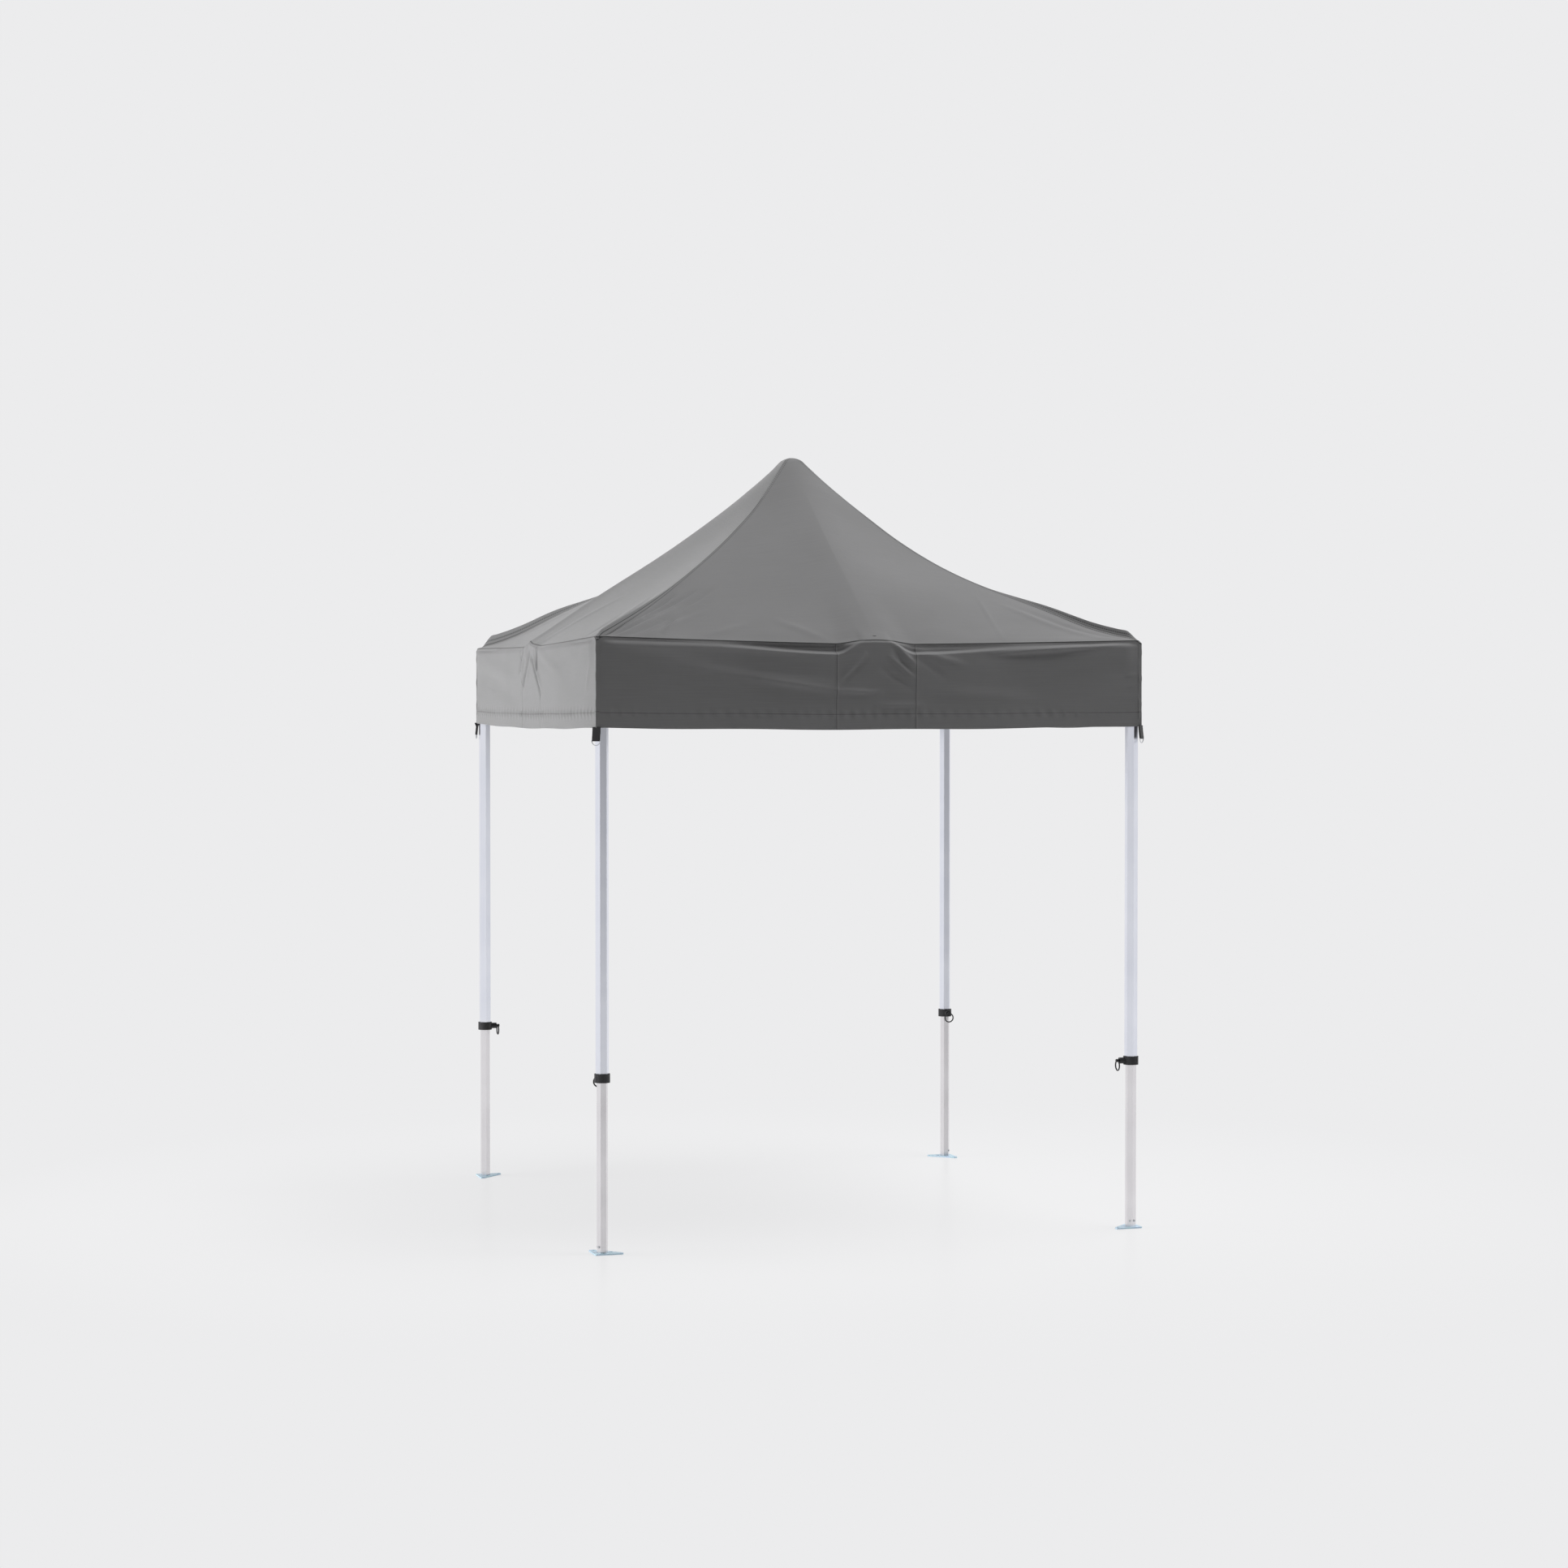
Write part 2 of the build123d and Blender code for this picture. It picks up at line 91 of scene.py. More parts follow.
# Valance
ARCH = (0.018, SEAM)    # the middle panel comes out at the eave in its middle, and lower beside it
SHOULDER_LOSS = 0.4
SHOULDER_END = 0.6
COME_OUT = 0.014        # depth over which the cloth comes out
PUSH_END = 0.78
PUSH_LOSS = 0.75        # share of the push that is lost on the way down
PUSH_DOWN = (0.05, 0.24)
VALLEY_START = 0.09
VALLEY_END = (0.3, 0.62)
VALLEY_DOWN = (0.002, 0.014)
LEG_ROOM = 0.85         # share of the inward folds that is taken out before a leg, also when folded
LEG_START = 0.5
LEG_REACH = 0.78
CORNER_HELD = 0.035     # the folds fade this far from a corner, and this far under the eave
FOLD_START = 0.014
BILLOW = 0.003          # slow waves along the side, half way down and at the hem, in radians a metre
BILLOW_MIDDLE = 5.3
BILLOW_LOW = 3.1
HEM_LAYER = 0.0007
HEM_STEP = (-0.001, 0.002)
PUCKER = 0.045          # length of a pucker along the hem, and its reach up and down
PUCKER_REACH = 0.013
PUCKER_DRIFT = 3        # the puckers' length drifts by this angle, in slow waves
PUCKER_TURN = 6
HEM_WAVE = 0.0012       # the hem goes up and down a little
HEM_WAVE_TURN = 11
SEAM_RISE = 0.0012      # the doubled cloth at the middle panel's seams
SEAM_ROUND = 0.004

# Roof
RIDGE_ROUND = 0.090     # rounding of the ridges towards the peak
RIDGE_END = 0.75
HIP_FREE = (HOOD, HOOD + 0.15)
HIP_HELD = (0.88, HALF)
HIP_DIP_MIDDLE = 0.87   # where a hip sinks near its corner, and over what length
HIP_DIP_LENGTH = 0.10
HIP_DIP_END = (0.94, HALF)
SWELL_START = (0.50, 0.86)    # where the roof swells or dips beside a hip
SWELL_END = (0.962, 1.0)
SWELL_EDGE = 0.020
SWELL_WIDTH = 0.09
DIP_EDGE = 0.014
DIP_WIDTH = 0.05
FOLD_EDGE = 0.010       # the roof's folds fade this far from a hip, and towards the eave
FOLD_END = (0.975, 1.0)
ROOF_WAVE = 0.002       # slow waves across and out, in radians a metre
WAVE_ACROSS = 7
WAVE_OUT = 9
HIP_STITCH = 0.009      # stitch row beside the hip seam
HIP_RISE = 0.0014       # the doubled cloth between the hip and its stitch row
HIP_ROUND = 0.004
HIP_RISE_START = (HOOD, HOOD + 0.1)

# Valance folds for each side: start and end (across, down), half width and height
VALANCE_FOLDS = {
    "front": [
        ((-0.780, 0.075), (-0.060, 0.185), 0.030, 0.0085),
        ((-0.780, 0.070), (-0.180, 0.135), 0.022, -0.0060),
        ((-0.420, 0.140), (-0.130, 0.180), 0.010, 0.0055),
        ((-0.940, 0.050), (-0.500, 0.105), 0.030, 0.0045),
        ((-0.640, 0.040), (-0.170, 0.060), 0.022, 0.0040),
        ((-0.045, 0.050), (-0.143, 0.146), 0.009, 0.0050),
        ((-0.040, 0.075), (-0.135, 0.160), 0.009, -0.0040),
        ((-0.150, 0.179), (0.020, 0.184), 0.008, 0.0070),
        ((0.000, 0.226), (0.170, 0.226), 0.008, 0.0060),
        ((0.020, 0.105), (0.140, 0.175), 0.010, -0.0045),
        ((0.080, 0.020), (0.146, 0.085), 0.010, 0.0050),
        ((0.060, 0.030), (0.140, 0.125), 0.010, -0.0045),
        ((0.046, 0.059), (0.142, 0.133), 0.009, 0.0050),
        ((0.160, 0.030), (0.330, 0.085), 0.014, 0.0050),
        ((0.155, 0.055), (0.260, 0.140), 0.012, -0.0035),
        ((0.200, 0.185), (0.620, 0.205), 0.022, 0.0045),
        ((0.930, 0.030), (0.560, 0.120), 0.030, 0.0040),
        ((0.780, 0.120), (0.480, 0.200), 0.035, -0.0035),
        ((0.950, 0.012), (0.620, 0.028), 0.008, 0.0060),
        ((0.780, 0.016), (0.420, 0.040), 0.009, 0.0065),
        ((0.720, 0.046), (0.380, 0.058), 0.014, -0.0036),
        ((0.985, 0.118), (0.930, 0.135), 0.008, 0.0032),
        ((0.985, 0.150), (0.925, 0.180), 0.009, 0.0034),
        ((0.985, 0.195), (0.915, 0.210), 0.010, 0.0028),
    ],
    "left": [
        ((-0.075, 0.004), (-0.178, 0.100), 0.011, -0.0190),
        ((-0.045, 0.010), (-0.150, 0.135), 0.012, 0.0080),
        ((0.010, 0.036), (-0.165, 0.180), 0.009, -0.0160),
        ((0.045, 0.050), (-0.125, 0.190), 0.013, 0.0060),
        ((0.035, 0.046), (0.158, 0.194), 0.010, -0.0160),
        ((0.075, 0.030), (0.178, 0.165), 0.014, 0.0070),
        ((0.118, 0.002), (0.140, 0.120), 0.007, -0.0090),
        ((-0.015, 0.004), (-0.060, 0.060), 0.018, 0.0060),
        ((-0.950, 0.095), (-0.220, 0.205), 0.034, -0.0090),
        ((-0.900, 0.060), (-0.260, 0.120), 0.034, 0.0060),
        ((0.180, 0.030), (0.520, 0.130), 0.022, 0.0050),
        ((0.200, 0.075), (0.620, 0.060), 0.024, -0.0040),
        ((0.960, 0.020), (0.650, 0.150), 0.030, 0.0040),
        ((0.930, 0.090), (0.850, 0.190), 0.014, 0.0040),
    ],
    "right": [
        ((-0.095, 0.012), (-0.060, 0.160), 0.012, -0.0060),
        ((0.100, 0.012), (0.145, 0.110), 0.011, 0.0050),
        ((-0.170, 0.040), (-0.320, 0.110), 0.015, 0.0030),
        ((0.220, 0.190), (0.600, 0.205), 0.020, 0.0024),
        ((-0.930, 0.040), (-0.600, 0.120), 0.030, 0.0024),
    ],
    "back": [
        ((-0.100, 0.010), (-0.147, 0.115), 0.010, 0.0050),
        ((0.095, 0.012), (0.060, 0.170), 0.012, -0.0060),
        ((0.180, 0.040), (0.310, 0.105), 0.015, 0.0030),
        ((-0.520, 0.195), (-0.160, 0.185), 0.020, 0.0026),
        ((0.940, 0.030), (0.620, 0.120), 0.030, 0.0024),
    ],
}
# For each side: slack of the eave, how far the middle panel stands out, sag of the roof, how far the ridge
# sharpens towards the eave, rise and half width of the pleat over the bracket, how much lower the hem hangs
# in the middle, height of its puckers, depth of the dip under the eave left and right of the middle panel,
# how far down the cloth there is fully out, and where the waves begin
EAVE_SAG = {"front": 0.021, "right": 0.018, "back": 0.020, "left": 0.014}
MID_PUSH = {"front": 0.011, "right": 0.010, "back": 0.011, "left": 0.010}
ROOF_SAG = {"front": 0.014, "right": 0.016, "back": 0.016, "left": 0.020}
RIDGE_SHARP = {"front": 0.75, "right": 0.9, "back": 0.85, "left": 0.97}
PLEAT = {"front": (0.003, 0.05), "right": (0.006, 0.04), "back": (0.004, 0.05), "left": (0.012, 0.03)}
LOW_MIDDLE = {"front": 0.009, "right": 0.007, "back": 0.006, "left": 0.010}
HEM_PUCKER = {"front": 0.0014, "right": 0.0016, "back": 0.0016, "left": 0.0045}
EAVE_VALLEY = {"front": (0.010, 0.005), "right": (0.006, 0.006), "back": (0.006, 0.008), "left": (0.0, 0.0)}
SHOULDER = {"front": 0.042, "right": 0.042, "back": 0.042, "left": 0.012}
PHASE = {"front": 0.4, "right": 1.9, "back": 3.3, "left": 5.0}

# For each corner: how far its hip stands off the even curve, where and over what length, how far it sinks
# near the corner, and how much lower the hem hangs
HIP_LIFT = {
    "front_left": (0.018, 0.50, 0.26),
    "front_right": (-0.014, 0.44, 0.20),
    "back_right": (0.008, 0.60, 0.25),
    "back_left": (0.009, 0.72, 0.20),
}
HIP_DIP = {"front_left": 0.0, "front_right": 0.012, "back_right": 0.0, "back_left": 0.013}
LOW_CORNER = {"front_left": 0.005, "front_right": 0.0, "back_right": 0.003, "back_left": -0.007}
# For each side, at its left and right end: how far the roof swells beside the hip, and how far it dips there
SWELL = {"front": (0.0064, 0.0), "right": (0.0256, 0.016), "back": (0.016, 0.0416), "left": (0.0, 0.0096)}
CORNER_DIP = {"front": (0.014, 0.004), "right": (0.0, 0.008), "back": (0.008, 0.0), "left": (0.004, 0.0)}

# Roof folds for each side: start and end (across, out), half width and height
ROOF_FOLDS = {
    "front": [
        ((-0.985, 0.998), (-0.800, 0.830), 0.008, -0.0130),
        ((-0.840, 0.866), (-0.640, 0.690), 0.009, -0.0120),
        ((-0.960, 0.990), (-0.720, 0.775), 0.007, 0.0060),
        ((-0.945, 0.992), (-0.760, 0.835), 0.006, -0.0090),
        ((-0.790, 0.850), (-0.560, 0.668), 0.008, -0.0085),
        ((-0.915, 0.988), (-0.640, 0.770), 0.009, 0.0050),
        ((-0.880, 0.985), (-0.690, 0.838), 0.008, -0.0045),
        ((-0.660, 0.800), (-0.480, 0.650), 0.010, -0.0040),
        ((-0.820, 0.980), (-0.560, 0.800), 0.012, 0.0035),
        ((-0.750, 0.960), (-0.655, 0.845), 0.009, 0.0050),
        ((-0.770, 0.955), (-0.690, 0.850), 0.010, -0.0035),
        ((-0.590, 0.965), (-0.420, 0.880), 0.016, 0.0035),
        ((-0.180, 0.975), (-0.330, 0.860), 0.018, 0.0035),
        ((0.160, 0.985), (0.330, 0.800), 0.018, 0.0030),
        ((0.485, 0.985), (0.500, 0.620), 0.008, 0.0022),
        ((0.930, 0.985), (0.640, 0.740), 0.014, -0.0035),
        ((0.860, 0.985), (0.560, 0.700), 0.016, 0.0030),
    ],
    "left": [
        ((0.975, 0.995), (0.660, 0.720), 0.013, 0.0060),
        ((0.930, 0.985), (0.600, 0.700), 0.014, -0.0060),
        ((0.870, 0.985), (0.520, 0.680), 0.018, 0.0045),
        ((0.780, 0.980), (0.560, 0.790), 0.014, -0.0035),
        ((0.100, 0.985), (0.210, 0.700), 0.020, 0.0040),
        ((-0.110, 0.985), (-0.260, 0.720), 0.020, 0.0040),
        ((-0.940, 0.985), (-0.620, 0.700), 0.016, -0.0050),
        ((-0.860, 0.985), (-0.540, 0.680), 0.018, 0.0040),
    ],
    "right": [
        ((-0.930, 0.985), (-0.600, 0.690), 0.014, 0.0050),
        ((-0.860, 0.985), (-0.540, 0.700), 0.016, -0.0050),
        ((0.940, 0.985), (0.610, 0.700), 0.014, -0.0050),
        ((0.870, 0.985), (0.530, 0.690), 0.016, 0.0040),
        ((0.110, 0.985), (0.250, 0.720), 0.020, 0.0035),
        ((-0.100, 0.985), (-0.230, 0.700), 0.020, 0.0035),
    ],
    "back": [
        ((-0.950, 0.990), (-0.630, 0.700), 0.013, -0.0060),
        ((-0.890, 0.985), (-0.540, 0.690), 0.015, 0.0045),
        ((0.940, 0.985), (0.600, 0.690), 0.014, -0.0050),
        ((0.860, 0.985), (0.560, 0.720), 0.016, 0.0045),
        ((0.120, 0.985), (0.260, 0.740), 0.020, 0.0035),
        ((-0.140, 0.985), (-0.300, 0.780), 0.020, 0.0035),
    ],
}

# Corner bindings, tabs and their rings
BINDING = 0.013         # width of the corner binding on each side
BINDING_LAYER = 0.0008
BINDING_BEND = 0.004
BINDING_GAP = 0.002     # between the eave's corner and the binding
BINDING_SWAY = [(0.0006, 60), (0.0004, 143)]    # waves on its way down, in radians a metre
TAB_WIDTH = 0.029
TAB_ABOVE = 0.003
TAB_BELOW = 0.043
TAB_BEHIND = 0.001      # inside of the corner at its top
TAB_SWING = 0.004       # outside of the corner at its ring
TAB_LAYER = 0.0013
TAB_TURN = {"front_left": 0, "front_right": 0, "back_right": -60, "back_left": 26}    # twist of each strap
LEAN_REACH = 1.3        # in lengths of the strap below the hem: where it would stop leaning, and twisting
TWIST_REACH = 0.3
LOOP_START = 0.15       # angle at which the strap leaves the ring's bar
RING_HALF = 0.0165
RING_WIRE = 0.0015

# Drawn lines: half widths of the painted shade along seams and of a row of stitches, and the stitches
SEAM_LINE = 0.0009
HIP_LINE = 0.0026
STITCH_LINE = 0.0013
STITCH = 0.006
STITCH_SHARE = 0.62
BAND_SCALE = 0.314      # scale of a wave texture times the distance between its bands

# CAD pieces: the top of the foot plates, and sizes that tell a solid's kind
FOOT_TOP = 0.0052
BOLT_SIZE = 0.036
RIVET_SIZE = 0.025
TUBE_LENGTH = 0.3


# Colours and nodes

def colour(code):
    parts = [int(code[i:i + 2], 16) / 255 for i in (1, 3, 5)]
    return (*[c / 12.92 if c <= 0.04045 else ((c + 0.055) / 1.055) ** 2.4 for c in parts], 1.0)


def add(tree, kind, inputs=None, **settings):
    """A node with its settings, and each input set to a value or linked from a socket."""
    made = tree.nodes.new(kind)
    for key, value in settings.items():
        setattr(made, key, value)
    for key, value in (inputs or {}).items():
        if isinstance(value, bpy.types.NodeSocket):
            tree.links.new(value, made.inputs[key])
        else:
            made.inputs[key].default_value = value
    return made


def start_material(name, **values):
    made = bpy.data.materials.new(name)
    made.use_nodes = True
    tree = made.node_tree
    tree.nodes.clear()
    shader = add(tree, "ShaderNodeBsdfPrincipled", {k.replace("_", " "): v for k, v in values.items()})
    add(tree, "ShaderNodeOutputMaterial", {"Surface": shader.outputs["BSDF"]})
    return made, tree, shader


def woven_polyester(name, seam_kind):
    # PU-coated 300-denier polyester, plain weave: matt, with a dry sheen at grazing angles and faint bars
    # where the yarn varies. Threads are 0.5 mm apart, and are drawn at 1.6 mm so that they show.
    made, tree, shader = start_material(name, Roughness=0.78, Sheen_Weight=0.12, Sheen_Roughness=0.5,
                                        Specular_IOR_Level=0.3)
    place = add(tree, "ShaderNodeUVMap", uv_map="cloth").outputs["UV"]
    body = add(tree, "ShaderNodeTexCoord").outputs["Object"]
    threads = {"Vector": place, "Scale": BAND_SCALE / 0.0016, "Distortion": 0.4}
    warp = add(tree, "ShaderNodeTexWave", threads, bands_direction="X").outputs["Fac"]
    weft = add(tree, "ShaderNodeTexWave", threads, bands_direction="Y").outputs["Fac"]
    weave = add(tree, "ShaderNodeMath", {0: warp, 1: weft}, operation="MULTIPLY").outputs[0]
    cloud = add(tree, "ShaderNodeTexNoise", {"Vector": body, "Scale": 3.5, "Detail": 4.0}).outputs["Fac"]
    drawn = add(tree, "ShaderNodeMapping", {"Vector": place, "Scale": (6, 350, 1)}).outputs["Vector"]
    bars = add(tree, "ShaderNodeTexNoise", {"Vector": drawn, "Scale": 1.0, "Detail": 2.0}).outputs["Fac"]
    mottle = add(tree, "ShaderNodeMath", {0: cloud, 1: bars}, operation="ADD").outputs[0]
    mottle = add(tree, "ShaderNodeMath", {0: mottle, 1: 0.5}, operation="MULTIPLY").outputs[0]
    tone = add(tree, "ShaderNodeMix", {0: mottle, 6: colour("#656565"), 7: colour("#777778")},
               data_type="RGBA").outputs[2]
    split = add(tree, "ShaderNodeSeparateXYZ", {"Vector": place})
    across = add(tree, "ShaderNodeMath", {0: split.outputs["X"]}, operation="ABSOLUTE").outputs[0]
    if seam_kind == "valance":
        edge = add(tree, "ShaderNodeMath", {0: across, 1: SEAM}, operation="SUBTRACT").outputs[0]
        line = add(tree, "ShaderNodeMath", {0: split.outputs["Y"], 1: HEM}, operation="SUBTRACT").outputs[0]
        run = split.outputs["X"]
        eave = {0: split.outputs["Y"], 1: DROP - EAVE_SEAM}
    else:
        run = split.outputs["Y"]
        edge = add(tree, "ShaderNodeMath", {0: run, 1: across}, operation="SUBTRACT").outputs[0]
        line = add(tree, "ShaderNodeMath", {0: edge, 1: HIP_STITCH}, operation="SUBTRACT").outputs[0]
        eave = {0: run, 1: HALF - EAVE_SEAM / 2}
    # Painted shade: the seams, the eave's seam among them, are drawn as dark lines for the shade that falls
    # in their grooves
    seam = add(tree, "ShaderNodeMath", eave, operation="GREATER_THAN").outputs[0]
    width = SEAM_LINE if seam_kind == "valance" else HIP_LINE
    painted_seam_shade = add(tree, "ShaderNodeMath", {0: edge, 1: 0.0, 2: width}, operation="COMPARE").outputs[0]
    painted_seam_shade = add(tree, "ShaderNodeMath", {0: painted_seam_shade, 1: seam}, operation="MAXIMUM").outputs[0]
    row = add(tree, "ShaderNodeMath", {0: line, 1: 0.0, 2: STITCH_LINE}, operation="COMPARE").outputs[0]
    step = add(tree, "ShaderNodeMath", {0: run, 1: 1 / STITCH}, operation="MULTIPLY").outputs[0]
    step = add(tree, "ShaderNodeMath", {0: step}, operation="FRACT").outputs[0]
    thread = add(tree, "ShaderNodeMath", {0: step, 1: STITCH_SHARE}, operation="LESS_THAN").outputs[0]
    stitch = add(tree, "ShaderNodeMath", {0: row, 1: thread}, operation="MULTIPLY").outputs[0]
    # the painted seam shade, #434343, laid over the cloth's tone
    tone = add(tree, "ShaderNodeMix", {0: painted_seam_shade, 6: tone, 7: colour("#434343")}, data_type="RGBA").outputs[2]
    tone = add(tree, "ShaderNodeMix", {0: stitch, 6: tone, 7: colour("#494949")}, data_type="RGBA").outputs[2]
    tree.links.new(tone, shader.inputs["Base Color"])
    relief = add(tree, "ShaderNodeMath", {0: weave, 1: stitch}, operation="SUBTRACT").outputs[0]
    bump = add(tree, "ShaderNodeBump", {"Height": relief, "Strength": 0.25, "Distance": 0.0006})
    tree.links.new(bump.outputs["Normal"], shader.inputs["Normal"])
    return made


def satin_aluminium(name, pale, dark, rough):
    # Extruded and satin anodised aluminium: soft reflections, with die lines along the tube. The lines are
    # some 0.3 mm apart, and are drawn at 2 mm so that they show.
    made, tree, shader = start_material(name, Metallic=1.0)
    body = add(tree, "ShaderNodeTexCoord").outputs["Object"]
    along = add(tree, "ShaderNodeMapping", {"Vector": body, "Scale": (500, 500, 1.5)}).outputs["Vector"]
    lines = add(tree, "ShaderNodeTexNoise", {"Vector": along, "Scale": 1.0, "Detail": 3.0}).outputs["Fac"]
    cloud = add(tree, "ShaderNodeTexNoise", {"Vector": body, "Scale": 9.0, "Detail": 3.0}).outputs["Fac"]
    mixed = add(tree, "ShaderNodeMath", {0: lines, 1: cloud}, operation="MULTIPLY").outputs[0]
    tone = add(tree, "ShaderNodeMix", {0: mixed, 6: colour(pale), 7: colour(dark)},
               data_type="RGBA").outputs[2]
    tree.links.new(tone, shader.inputs["Base Color"])
    span = {0: cloud, 3: rough - 0.05, 4: rough + 0.08}
    tree.links.new(add(tree, "ShaderNodeMapRange", span).outputs[0], shader.inputs["Roughness"])
    bump = add(tree, "ShaderNodeBump", {"Height": lines, "Strength": 0.02, "Distance": 0.0003})
    tree.links.new(bump.outputs["Normal"], shader.inputs["Normal"])
    return made


def moulded_nylon(name):
    # Glass-filled nylon from a spark-eroded mould: near black, fine even grain, a dull sheen. Its edges are
    # rubbed slightly grey, which is not drawn; the tone only drifts a little greyer in soft patches. The
    # grain is 0.2 mm, and is drawn at 1 mm.
    made, tree, shader = start_material(name, Specular_IOR_Level=0.45)
    body = add(tree, "ShaderNodeTexCoord").outputs["Object"]
    grain = add(tree, "ShaderNodeTexNoise", {"Vector": body, "Scale": 1000.0, "Detail": 2.0}).outputs["Fac"]
    cloud = add(tree, "ShaderNodeTexNoise", {"Vector": body, "Scale": 45.0, "Detail": 3.0}).outputs["Fac"]
    tone = add(tree, "ShaderNodeMix", {0: cloud, 6: colour("#1b1b1d"), 7: colour("#2b2b2d")},
               data_type="RGBA").outputs[2]
    tree.links.new(tone, shader.inputs["Base Color"])
    span = {0: cloud, 3: 0.42, 4: 0.6}
    tree.links.new(add(tree, "ShaderNodeMapRange", span).outputs[0], shader.inputs["Roughness"])
    bump = add(tree, "ShaderNodeBump", {"Height": grain, "Strength": 0.2, "Distance": 0.0002})
    tree.links.new(bump.outputs["Normal"], shader.inputs["Normal"])
    return made


def plated_steel(name, first, second, rough, cell, metal=1.0):
    # Pressed or turned steel with a thin plated or painted skin: the tint drifts in patches, and tiny pits
    # break up the reflection. A paint or a dull passivated skin hides some or all of the metal.
    made, tree, shader = start_material(name, Metallic=metal)
    body = add(tree, "ShaderNodeTexCoord").outputs["Object"]
    patch = add(tree, "ShaderNodeTexNoise", {"Vector": body, "Scale": 1 / cell, "Detail": 3.0}).outputs["Fac"]
    pits = add(tree, "ShaderNodeTexNoise", {"Vector": body, "Scale": 900.0, "Detail": 2.0}).outputs["Fac"]
    tone = add(tree, "ShaderNodeMix", {0: patch, 6: colour(first), 7: colour(second)},
               data_type="RGBA").outputs[2]
    tree.links.new(tone, shader.inputs["Base Color"])
    span = {0: patch, 3: rough - 0.06, 4: rough + 0.1}
    tree.links.new(add(tree, "ShaderNodeMapRange", span).outputs[0], shader.inputs["Roughness"])
    bump = add(tree, "ShaderNodeBump", {"Height": pits, "Strength": 0.1, "Distance": 0.0002})
    tree.links.new(bump.outputs["Normal"], shader.inputs["Normal"])
    return made


def polyester_webbing(name):
    # Woven polyester webbing: black, ribbed across its width every 1.3 mm, with a dull sheen.
    made, tree, shader = start_material(name, Roughness=0.8, Sheen_Weight=0.15, Specular_IOR_Level=0.3)
    place = add(tree, "ShaderNodeUVMap", uv_map="cloth").outputs["UV"]
    ribs = add(tree, "ShaderNodeTexWave", {"Vector": place, "Scale": BAND_SCALE / 0.0013, "Distortion": 1.0},
               bands_direction="Y").outputs["Fac"]
    rows = add(tree, "ShaderNodeTexWave", {"Vector": place, "Scale": BAND_SCALE / 0.0035},
               bands_direction="X").outputs["Fac"]
    weave = add(tree, "ShaderNodeMath", {0: ribs, 1: rows}, operation="MULTIPLY").outputs[0]
    tone = add(tree, "ShaderNodeMix", {0: weave, 6: colour("#141416"), 7: colour("#2c2c2e")},
               data_type="RGBA").outputs[2]
    tree.links.new(tone, shader.inputs["Base Color"])
    bump = add(tree, "ShaderNodeBump", {"Height": weave, "Strength": 0.4, "Distance": 0.0006})
    tree.links.new(bump.outputs["Normal"], shader.inputs["Normal"])
    return made


ROOF_CLOTH = woven_polyester("coated_woven_polyester_roof", "hip")
VALANCE_CLOTH = woven_polyester("coated_woven_polyester_valance", "valance")
WEBBING = polyester_webbing("woven_polyester_webbing")
OUTER_TUBE = satin_aluminium("satin_anodised_aluminium_outer", "#f6f8ff", "#dde1f0", 0.30)
INNER_TUBE = satin_aluminium("satin_anodised_aluminium_inner", "#f2f0f2", "#dfdcdf", 0.34)
BAR_METAL = satin_aluminium("mill_finish_aluminium_bar", "#dddee2", "#bbbcc2", 0.42)
NYLON = moulded_nylon("moulded_black_nylon")
ZINC = plated_steel("blue_passivated_zinc_steel", "#bde3e3", "#c6d2f0", 0.36, 0.02, 0.5)
BLACK_STEEL = plated_steel("black_painted_steel", "#151517", "#242427", 0.45, 0.01, 0.0)
BRIGHT_STEEL = plated_steel("bright_zinc_steel", "#b9bbbf", "#d3d5d8", 0.3, 0.01)


# Mesh helpers

def smooth(low, high, x):
    s = np.clip((x - low) / (high - low), 0, 1)
    return s * s * (3 - 2 * s)


def fade(low, high, x):
    return 1 - smooth(low, high, x)


def bell(x, width):
    return np.exp(-(x / width) ** 2)


def fold_line(across, down, start, end, width, height):
    """A soft fold that runs from start to end and fades at both."""
    run = np.subtract(end, start)
    along = ((across - start[0]) * run[0] + (down - start[1]) * run[1]) / (run @ run)
    along = np.clip(along, 0, 1)
    gap = np.hypot(across - start[0] - along * run[0], down - start[1] - along * run[1])
    return height * np.sin(math.pi * (0.1 + 0.85 * along)) * bell(gap, width)


def only(piece):
    bpy.ops.object.select_all(action="DESELECT")
    piece.select_set(True)
    bpy.context.view_layer.objects.active = piece


def finish_piece(piece, material, angle=40):
    only(piece)
    for modifier in list(piece.modifiers):
        bpy.ops.object.modifier_apply(modifier=modifier.name)
    bpy.ops.object.shade_smooth_by_angle(angle=math.radians(angle))
    piece.data.materials.clear()
    piece.data.materials.append(material)
    return piece


def cloth_grid(name, points, flat, quarter, layer, material):
    """A sheet through a grid of points, turned to its side of the tent and given its thickness inwards."""
    rows, columns, _ = points.shape
    turned = points.copy()
    for _ in range(quarter):
        turned = np.stack([-turned[..., 1], turned[..., 0], turned[..., 2]], -1)
    index = np.arange(rows * columns).reshape(rows, columns)
    faces = np.stack([index[:-1, :-1], index[1:, :-1], index[1:, 1:], index[:-1, 1:]], -1).reshape(-1, 4)
    mesh = bpy.data.meshes.new(name)
    mesh.from_pydata(turned.reshape(-1, 3).tolist(), [], faces.tolist())
    mesh.uv_layers.new(name="cloth").data.foreach_set("uv", flat.reshape(-1, 2)[faces.ravel()].ravel())
    piece = bpy.data.objects.new(name, mesh)
    bpy.context.collection.objects.link(piece)
    thick = piece.modifiers.new("thickness", "SOLIDIFY")
    thick.thickness = layer
    thick.offset = -1
    return finish_piece(piece, material)


# Canopy

def steps(*runs):
    """Distances with a step of their own in each run of (start, end, step)."""
    parts = [np.arange(start, end - step / 2, step) for start, end, step in runs]
    return np.concatenate([*parts, [runs[-1][1]]])


